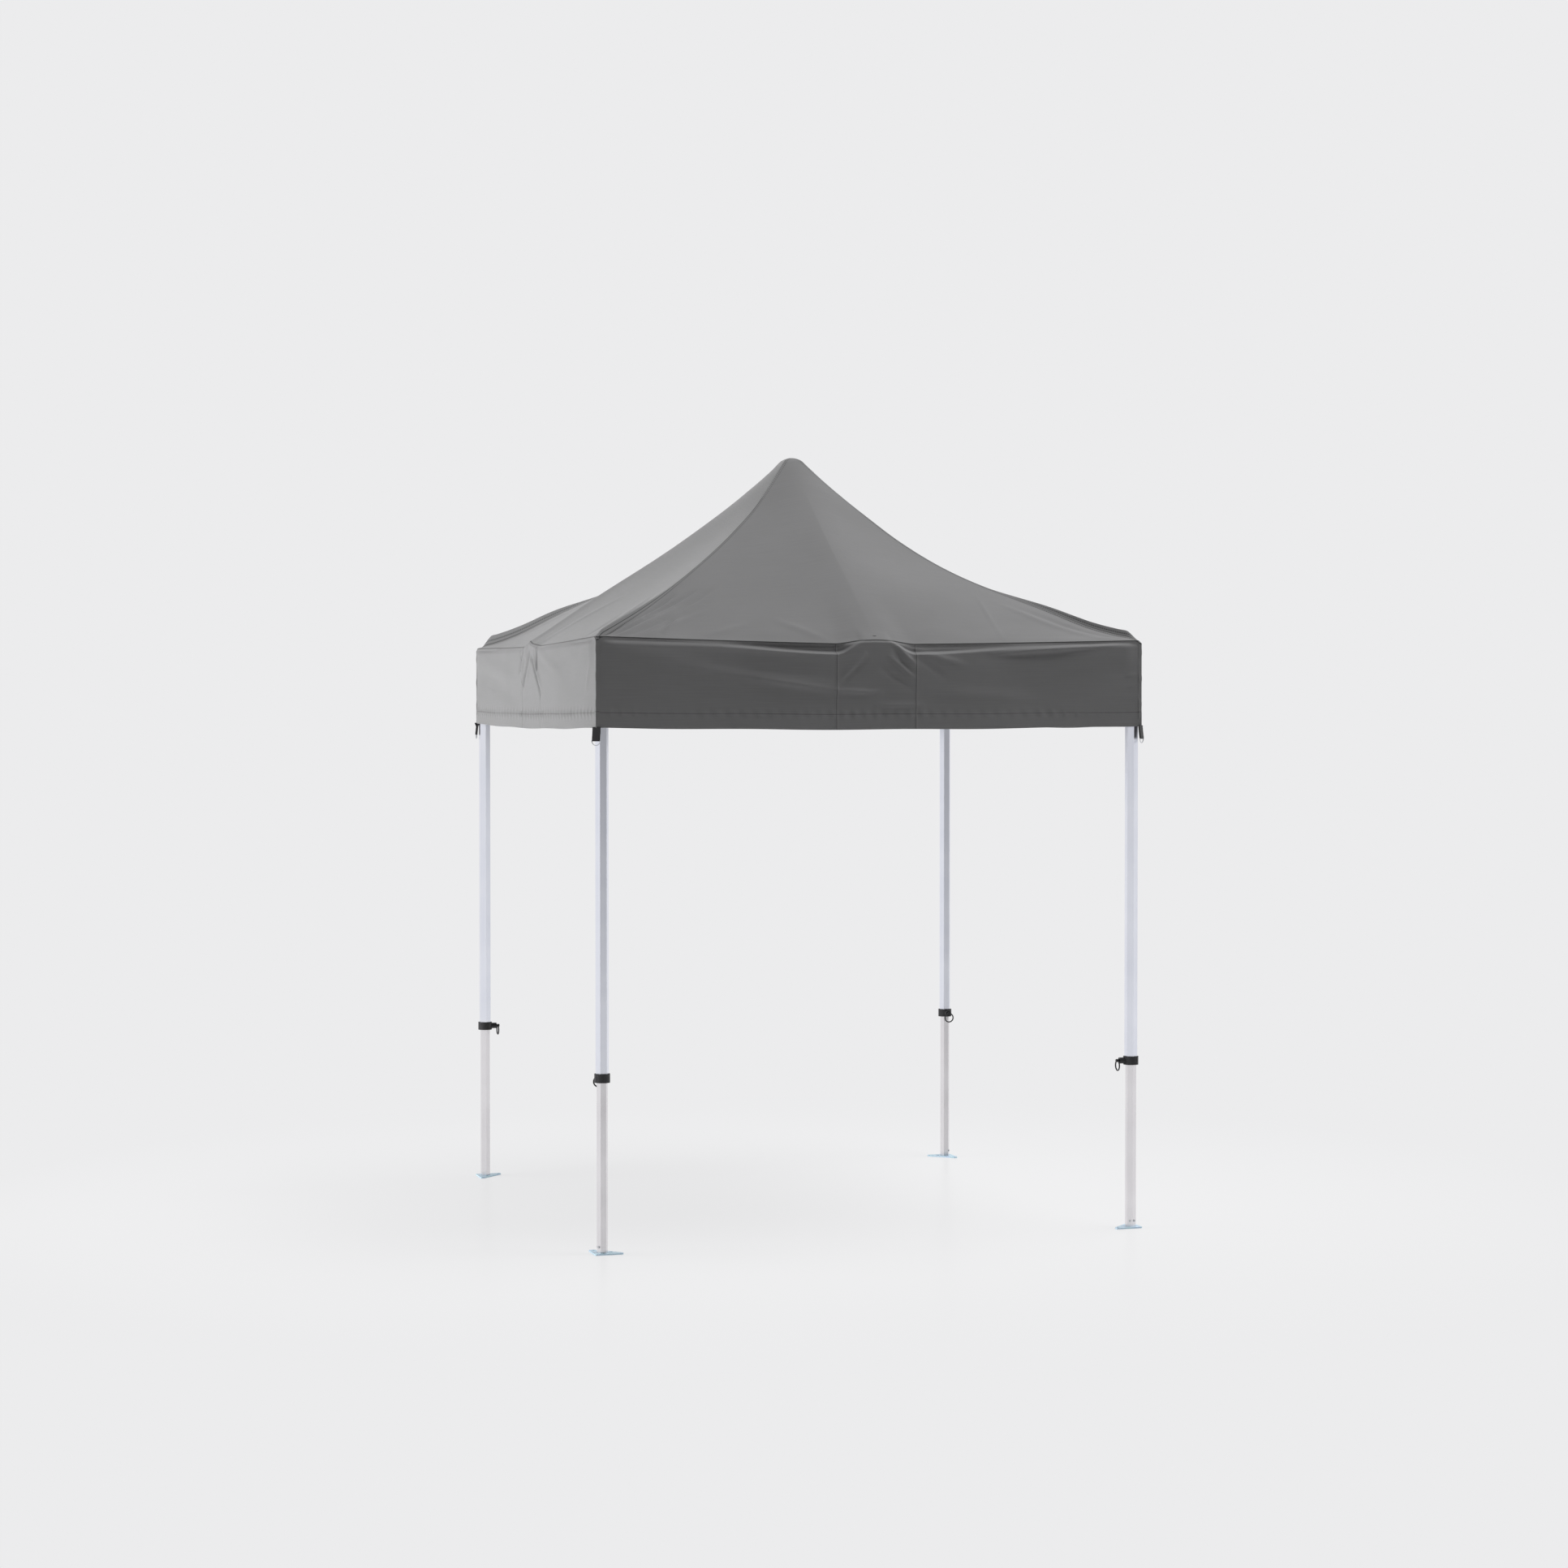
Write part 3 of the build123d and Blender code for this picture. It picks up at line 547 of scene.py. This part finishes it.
ACROSS = steps((0, 0.08, 0.005), (0.08, 0.2, 0.003), (0.2, 0.6, 0.010), (0.6, 1.0, 0.005))
ACROSS = np.concatenate([-ACROSS[:0:-1], ACROSS])
OUTWARD = steps((HOOD, 0.55, 0.017), (0.55, 0.9, 0.007), (0.9, HALF, 0.005))
DOWNWARD = steps((0, 0.06, 0.002), (0.06, DROP - HEM - 0.02, 0.004), (DROP - HEM - 0.02, DROP, 0.003))


def roof_height(out, across, sharp=0.0):
    left = np.clip((HALF - out) / (HALF - CROWN), 0, 1)
    rise = PEAK - CROWN_DROP - EAVE
    hip = EAVE + rise * (HIP_SHARE * left + (1 - HIP_SHARE) * left ** HIP_POWER)
    mid = EAVE + rise * (MID_SHARE * left + (1 - MID_SHARE) * left ** MID_POWER)
    bend = RIDGE_ROUND * (1 - sharp * smooth(HOOD, RIDGE_END, out))
    reach = (np.hypot(across, bend) - bend) / (np.hypot(out, bend) - bend + 1e-9)
    slope = mid + (hip - mid) * reach
    crown = PEAK - CROWN_DROP * (out / CROWN) ** 2
    return np.where(out < CROWN, crown, slope)


def hip_lift(corner, out):
    height, middle, length = HIP_LIFT[corner]
    lift = height * smooth(*HIP_FREE, out) * fade(*HIP_HELD, out) * bell(out - middle, length)
    return lift - HIP_DIP[corner] * bell(out - HIP_DIP_MIDDLE, HIP_DIP_LENGTH) * fade(*HIP_DIP_END, out)


def eave_sag(side, across):
    """The eave hangs slack from the legs, and less over the middle bracket."""
    far = np.abs(across)
    return EAVE_SAG[side] * (1 - far ** SAG_POWER) * (SAG_MIDDLE + (1 - SAG_MIDDLE) * smooth(*SAG_ARCH, far))


def pleat(side, across):
    rise, width = PLEAT[side]
    return rise * np.exp(-(np.abs(across) / width) ** PLEAT_POWER)


def stand_out(side, across, down):
    """The cloth rolls over the eave. The bracket pushes the middle panel out, and beside it the cloth dips
    under the eave before it comes out."""
    far = np.abs(across)
    roll = EAVE_ROLL * fade(*ROLL_END, far)
    roll *= fade(0, ROLL_DOWN + ROLL_MORE * smooth(*ROLL_SIDE, far), down)
    begin = SHOULDER[side] * smooth(*ARCH, far) * (1 - SHOULDER_LOSS * smooth(SEAM, SHOULDER_END, far))
    come_out = smooth(begin - COME_OUT, begin, down)
    push = MID_PUSH[side] * fade(SEAM, PUSH_END, far) * (1 - PUSH_LOSS * smooth(*PUSH_DOWN, down))
    valley = np.where(across < 0, *EAVE_VALLEY[side]) * smooth(*VALLEY_DOWN, down)
    valley *= smooth(VALLEY_START, SEAM, far) * fade(*VALLEY_END, far)
    bulge = EAVE_BULGE * smooth(BULGE_START, LEG_REACH, far) * fade(*ROLL_END, far)
    bulge *= smooth(0, BULGE_DOWN, down) * fade(*BULGE_END, down)
    return push * come_out - valley * (1 - come_out) - roll + bulge


def corner_droop(far):
    return CORNER_DROOP * smooth(DROOP_START, HALF, far) ** 2


def side_corners(side):
    """The corners at the left and right end of a side."""
    quarter = SIDES.index(side)
    return CORNERS[quarter], CORNERS[(quarter + 1) % 4]


def roof_points(side):
    share, out = np.meshgrid(ACROSS, OUTWARD)
    across = share * out
    at_eave = share * HALF
    phase = PHASE[side]
    z = roof_height(out, across, RIDGE_SHARP[side])
    z -= eave_sag(side, at_eave) * smooth(*SAG_REACH, out) ** 2
    z += pleat(side, across) * smooth(*PLEAT_REACH, out)
    inner = np.sin(math.pi * (out - HOOD) / (HALF - HOOD))
    z -= ROOF_SAG[side] * np.sin(math.pi * np.abs(share)) * inner
    waves = np.sin(WAVE_ACROSS * across + phase) * np.sin(WAVE_OUT * out + 2 * phase)
    z += ROOF_WAVE * waves * (1 - share ** 2) * inner
    edge = out - np.abs(across)
    zone = smooth(*SWELL_START, out) * fade(*SWELL_END, out)
    for corner, hand, swell, dip in zip(side_corners(side), (-1, 1), SWELL[side], CORNER_DIP[side]):
        half = hand * share
        z += hip_lift(corner, out) * smooth(0, 1, half)
        z += swell * (half > 0) * smooth(0, SWELL_EDGE, edge) * bell(edge, SWELL_WIDTH) * zone
        z -= dip * (half > 0) * smooth(0, DIP_EDGE, edge) * bell(edge, DIP_WIDTH) * zone
    held = smooth(0, FOLD_EDGE, edge) * fade(*FOLD_END, out)
    for fold in ROOF_FOLDS[side]:
        z += held * fold_line(across, out, *fold)
    z += HIP_RISE * bell(edge - HIP_STITCH / 2, HIP_ROUND) * smooth(*HIP_RISE_START, out)
    z -= corner_droop(np.abs(at_eave)) * smooth(*DROOP_REACH, out) ** 2
    eave = stand_out(side, at_eave, 0.0) * (1 - LEG_ROOM * smooth(LEG_START, LEG_REACH, np.abs(at_eave)))
    far = out + eave * smooth(*ROLL_REACH, out) ** 2
    return np.stack([across, -far, z], -1), np.stack([across, out], -1)


def valance_points(side):
    across, down = np.meshgrid(ACROSS * HALF, DOWNWARD)
    phase = PHASE[side]
    far = np.abs(across)
    held = smooth(0, CORNER_HELD, HALF - far)
    begun = smooth(0, FOLD_START, down)
    out = HALF + stand_out(side, across, down)
    for fold in VALANCE_FOLDS[side]:
        out += held * begun * fold_line(across, down, *fold)
    depth = down / DROP
    out += BILLOW * held * np.sin(BILLOW_MIDDLE * across + phase) * np.sin(math.pi * depth)
    out += BILLOW * held * np.sin(BILLOW_LOW * across + 2 * phase) * depth ** 2
    below_hem = down - (DROP - HEM)
    out += HEM_LAYER * smooth(*HEM_STEP, below_hem)
    pucker = np.sin(2 * math.pi * across / PUCKER + PUCKER_DRIFT * np.sin(PUCKER_TURN * across + phase))
    out += HEM_PUCKER[side] * held * pucker * bell(below_hem, PUCKER_REACH)
    out += SEAM_RISE * begun * bell(far - SEAM, SEAM_ROUND)
    inward = np.minimum(out - HALF, 0)
    out -= inward * LEG_ROOM * smooth(LEG_START, LEG_REACH, far)
    z = EAVE - down - eave_sag(side, across) * fade(0, SAG_DOWN, down)
    z += pleat(side, across) * np.exp(-down / PLEAT_DOWN)
    z -= corner_droop(far) * fade(0, DROOP_DOWN, down)
    left, right = side_corners(side)
    low = LOW_MIDDLE[side] * np.cos(math.pi / 2 * across)
    low += LOW_CORNER[left] * (1 - across) / 2
    low += LOW_CORNER[right] * (1 + across) / 2
    z -= low * depth ** 2
    z += HEM_WAVE * held * np.sin(HEM_WAVE_TURN * across + phase) * depth ** 3
    return np.stack([across, -out, z], -1), np.stack([across, DROP - down], -1)


def hood_points():
    line = HOOD * np.linspace(-1, 1, 65)
    x, y = np.meshgrid(line, line[::-1])
    out = np.maximum(np.abs(x), np.abs(y))
    across = np.minimum(np.abs(x), np.abs(y))
    return np.stack([x, y, roof_height(out, across)], -1), np.stack([across, out], -1)


for quarter, side in enumerate(SIDES):
    points, flat = roof_points(side)
    roof = cloth_grid("roof_" + side, points, flat, quarter, CLOTH, ROOF_CLOTH)
    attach(roof, side + "_canopy")
    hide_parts(side + "_canopy")
    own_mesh(roof)
    points, flat = valance_points(side)
    valance = cloth_grid("valance_" + side, points, flat, quarter, CLOTH, VALANCE_CLOTH)
    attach(valance, side + "_mid_top")
    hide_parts(side + "_canopy")
    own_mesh(valance)

points, flat = hood_points()
hood = cloth_grid("roof_hood", points, flat, 0, CLOTH, ROOF_CLOTH)
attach(hood, "mast")


# Corner bindings, tabs and rings, all carried by the legs' heads

def binding_points(corner):
    """A strip folded round the valance's front left corner, from the eave to the hem."""
    outer = -HALF - BINDING_LAYER
    inner = -HALF + BINDING
    angle = np.linspace(0, math.pi / 2, 5)
    bend = outer + BINDING_BEND * (1 - np.stack([np.cos(angle), np.sin(angle)], -1))
    edge = np.concatenate([[(outer, inner)], bend, [(inner, outer)]])
    heights = np.linspace(EAVE - CORNER_DROOP - BINDING_GAP, EAVE - DROP - LOW_CORNER[corner], 40)
    points = np.zeros((len(heights), len(edge), 3))
    points[..., :2] = edge[None]
    points[..., 2] = heights[:, None]
    sway = sum(size * np.sin(heights * turn) for size, turn in BINDING_SWAY)
    points[..., 0] += sway[:, None]
    points[..., 1] += sway[:, None]
    run = np.concatenate([[0], np.cumsum(np.hypot(*np.diff(edge, axis=0).T))])
    run += SEAM - run[-1] / 2
    return points, np.stack([np.tile(run, (len(heights), 1)), points[..., 2] - EAVE + DROP], -1)


def across_corner(out, along, height):
    """A point by the front left corner: out from it on the diagonal, and along the strap's width."""
    share = math.sqrt(0.5)
    return np.stack([-HALF - (out - along) * share, -HALF - (out + along) * share, height], -1)


def twisted(along, out, turn):
    return along * np.cos(turn) + out * np.sin(turn), out * np.cos(turn) - along * np.sin(turn)


def tab_lean(down):
    return -TAB_BEHIND + (TAB_BEHIND + TAB_SWING) * smooth(-TAB_ABOVE, TAB_BELOW * LEAN_REACH, down)


def tab_points(corner):
    """A webbing loop across the inside of a corner, which swings out below the hem, round the ring's bar."""
    hem = EAVE - DROP - LOW_CORNER[corner]
    down = np.linspace(-TAB_ABOVE, TAB_BELOW, 16)
    lean = tab_lean(down)
    radius = RING_WIRE + TAB_LAYER
    turn = np.linspace(LOOP_START, math.pi - LOOP_START, 9)
    out = np.concatenate([lean, lean[-1] - radius * (1 - np.cos(turn)), lean[::-1] - 2 * radius])
    low = np.concatenate([down, TAB_BELOW + radius * np.sin(turn), down[::-1]])
    width = np.linspace(-TAB_WIDTH / 2, TAB_WIDTH / 2, 9)
    middle = np.concatenate([lean, np.full(len(turn), lean[-1]), lean[::-1]]) - radius
    twist = math.radians(TAB_TURN[corner]) * smooth(-TAB_ABOVE, TWIST_REACH * TAB_BELOW, low)
    along, off = np.meshgrid(width, out - middle)
    along, off = twisted(along, off, twist[:, None])
    points = across_corner(middle[:, None] + off, along, np.tile(hem - low[:, None], (1, len(width))))
    length = np.concatenate([[0], np.cumsum(np.hypot(np.diff(out), np.diff(low)))])
    return points, np.stack(np.meshgrid(width, length), -1)


def tab_ring(name, corner):
    """A bent wire ring: a torus whose upper half is pressed flat into the bar that the tab goes round."""
    bpy.ops.object.select_all(action="DESELECT")
    bpy.ops.mesh.primitive_torus_add(major_radius=RING_HALF, minor_radius=RING_WIRE, major_segments=64,
                                     minor_segments=14)
    ring = bpy.context.active_object
    ring.name = ring.data.name = name
    bar = EAVE - DROP - LOW_CORNER[corner] - TAB_BELOW
    middle = tab_lean(TAB_BELOW) - RING_WIRE - TAB_LAYER
    for dot in ring.data.vertices:
        x, y, z = dot.co
        sunk = RING_HALF * max(y, 0) / math.hypot(x, y)
        along, off = twisted(x, z, math.radians(TAB_TURN[corner]))
        dot.co = across_corner(middle + off, along, y - sunk + bar)
    only(ring)
    bpy.ops.object.mode_set(mode="EDIT")
    bpy.ops.mesh.select_all(action="SELECT")
    bpy.ops.mesh.normals_make_consistent(inside=False)
    bpy.ops.object.mode_set(mode="OBJECT")
    return ring


def turn_mesh(piece, quarter):
    for dot in piece.data.vertices:
        for _ in range(quarter):
            dot.co = (-dot.co.y, dot.co.x, dot.co.z)


for quarter, corner in enumerate(CORNERS):
    points, flat = binding_points(corner)
    binding = cloth_grid("corner_binding_" + corner, points, flat, quarter, BINDING_LAYER, VALANCE_CLOTH)
    points, flat = tab_points(corner)
    tab = cloth_grid("corner_tab_" + corner, points, flat, quarter, TAB_LAYER, WEBBING)
    ring = tab_ring("tab_ring_" + corner, corner)
    turn_mesh(ring, quarter)
    finish_piece(ring, BRIGHT_STEEL)
    for piece in (binding, tab, ring):
        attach(piece, "leg_" + corner)


# Finishes of the CAD pieces

def loose_parts(mesh):
    """For each face, the number of the solid that it belongs to."""
    places = np.array([v.co for v in mesh.vertices])
    _, same = np.unique(np.round(places, 6), axis=0, return_inverse=True)
    same = same.ravel()
    faces = same[np.array([list(f.vertices) for f in mesh.polygons])]
    label = np.arange(same.max() + 1)
    while True:
        lower = label.copy()
        np.minimum.at(lower, faces.ravel(), np.repeat(label[faces].min(axis=1), 3))
        lower = lower[lower]
        if (lower == label).all():
            return label[faces[:, 0]], places
        label = lower


def paint(node, choose, base=None):
    """Gives each solid of a CAD node the material that choose picks from its lowest and highest corner.
    The faces at floor level, up to FOOT_TOP, get base instead where it is given."""
    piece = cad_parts[node]
    mesh = piece.data
    part, places = loose_parts(mesh)
    mesh.materials.clear()
    for number in np.unique(part):
        chosen = np.nonzero(part == number)[0]
        used = places[np.unique([v for f in chosen for v in mesh.polygons[f].vertices])]
        material = choose(used.min(axis=0), used.max(axis=0))
        if material.name not in mesh.materials:
            mesh.materials.append(material)
        slot = mesh.materials.find(material.name)
        for f in chosen:
            mesh.polygons[f].material_index = slot
    if base:
        mesh.materials.append(base)
        for face in mesh.polygons:
            if face.center.z < FOOT_TOP:
                face.material_index = len(mesh.materials) - 1


def with_bolts(main):
    return lambda low, high: BRIGHT_STEEL if (high - low).max() < BOLT_SIZE else main


def inner_leg_finish(low, high):
    if high[2] - low[2] > TUBE_LENGTH:
        return INNER_TUBE
    return BRIGHT_STEEL if (high - low).max() < RIVET_SIZE else NYLON


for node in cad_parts:
    if node.endswith("_canopy"):
        continue
    if node.startswith("lower_leg"):
        paint(node, inner_leg_finish, ZINC)
    elif node.startswith("upper_leg"):
        paint(node, lambda low, high: OUTER_TUBE)
    elif node.startswith("pull_pin"):
        paint(node, lambda low, high: BLACK_STEEL)
    elif "_bar" in node or "_arm" in node or node == "mast":
        paint(node, with_bolts(BAR_METAL))
    else:
        paint(node, with_bolts(NYLON))


# Stage: pale floor that runs into a pale backdrop, soft light from the left and above

PALE = "#ececed"
AMBIENT = 0.152
DARK_WALL = (0.3, -0.954, 0)    # direction of the dark wall's middle, by the camera
DARK_WALL_EDGE = 0.42           # cosines of the angles from there at which the dark begins and is full
DARK_WALL_FULL = 0.88
FLOOR_SHARE = 0.80              # share of the backdrop's even tone on the floor near the tent
FLOOR_NEAR = 1.2                # distances from the mast at which that share begins to grow and is full
FLOOR_FAR = 3.2
CAMERA_PLACE = (-3.5718, -11.5235, 1.8212)
CAMERA_TURN = (88.8345, 0, -17.10)
SENSOR = 36
LENS = 73.376


def seen_directly(tree):
    path = add(tree, "ShaderNodeLightPath")
    seen = add(tree, "ShaderNodeMath", {0: path.outputs["Is Camera Ray"], 1: path.outputs["Is Glossy Ray"]},
               operation="MAXIMUM").outputs[0]
    return add(tree, "ShaderNodeMath", {0: seen, 1: path.outputs["Is Transmission Ray"]},
               operation="MAXIMUM").outputs[0]


world = bpy.data.worlds.new("studio")
bpy.context.scene.world = world
world.use_nodes = True
tree = world.node_tree
tree.nodes.clear()
# Metal sees a darker studio behind the camera, so that a tube's faces differ
view = add(tree, "ShaderNodeTexCoord").outputs["Generated"]
toward = add(tree, "ShaderNodeVectorMath", {0: view, 1: DARK_WALL}, operation="DOT_PRODUCT").outputs["Value"]
wall = add(tree, "ShaderNodeMapRange",
           {0: toward, 1: DARK_WALL_EDGE, 2: DARK_WALL_FULL, 3: 1.0, 4: 0.0}).outputs[0]
direct = add(tree, "ShaderNodeLightPath").outputs["Is Camera Ray"]
level = add(tree, "ShaderNodeMath", {0: wall, 1: direct}, operation="MAXIMUM").outputs[0]
ambient = add(tree, "ShaderNodeBackground", {"Color": colour("#ffffff"), "Strength": AMBIENT}).outputs[0]
backdrop = add(tree, "ShaderNodeBackground", {"Color": colour(PALE), "Strength": level}).outputs[0]
both = add(tree, "ShaderNodeMixShader", {0: seen_directly(tree), 1: ambient, 2: backdrop}).outputs[0]
add(tree, "ShaderNodeOutputWorld", {"Surface": both})

bpy.ops.object.select_all(action="DESELECT")
bpy.ops.mesh.primitive_circle_add(vertices=96, radius=60, fill_type="NGON", location=(0, 0, -0.0005))
floor = bpy.context.active_object
floor.name = "studio_floor"
made = bpy.data.materials.new("matt_studio_floor")
made.use_nodes = True
tree = made.node_tree
tree.nodes.clear()
lit = add(tree, "ShaderNodeBsdfPrincipled", {"Base Color": colour("#e6e6e6"), "Roughness": 0.25}).outputs[0]
even = add(tree, "ShaderNodeEmission", {"Color": colour(PALE), "Strength": 1.0}).outputs[0]
place = add(tree, "ShaderNodeTexCoord").outputs["Object"]
reach = add(tree, "ShaderNodeVectorMath", {0: place}, operation="LENGTH").outputs["Value"]
far = add(tree, "ShaderNodeMapRange",
          {0: reach, 1: FLOOR_NEAR, 2: FLOOR_FAR, 3: FLOOR_SHARE, 4: 1.0}).outputs[0]
share = add(tree, "ShaderNodeMath", {0: far, 1: seen_directly(tree)}, operation="MULTIPLY").outputs[0]
both = add(tree, "ShaderNodeMixShader", {0: share, 1: lit, 2: even}).outputs[0]
add(tree, "ShaderNodeOutputMaterial", {"Surface": both})
floor.data.materials.append(made)


def softbox(name, place, aim, size, power):
    bpy.ops.object.light_add(type="AREA", location=place)
    lamp = bpy.context.active_object
    lamp.name = name
    lamp.data.shape = "DISK"
    lamp.data.size = size
    lamp.data.energy = power
    lamp.visible_camera = False
    lamp.visible_glossy = False
    run = np.subtract(aim, place)
    lamp.rotation_euler = (math.acos(-run[2] / np.linalg.norm(run)), 0, math.atan2(-run[0], run[1]))


softbox("softbox_left", (-5.2, 0.8, 1.5), (0, 0, 2.1), 4.0, 432)
softbox("softbox_top", (4.0, -1.2, 9.0), (0, 0, 1.5), 6.0, 1010)
softbox("softbox_right", (6.8, 4.0, 3.0), (0, 0, 1.5), 6.0, 140)

bpy.ops.object.camera_add(location=CAMERA_PLACE, rotation=[math.radians(angle) for angle in CAMERA_TURN])
camera = bpy.context.active_object
camera.data.sensor_width = SENSOR
camera.data.lens = LENS
bpy.context.scene.camera = camera
bpy.context.scene.view_settings.view_transform = "Standard"
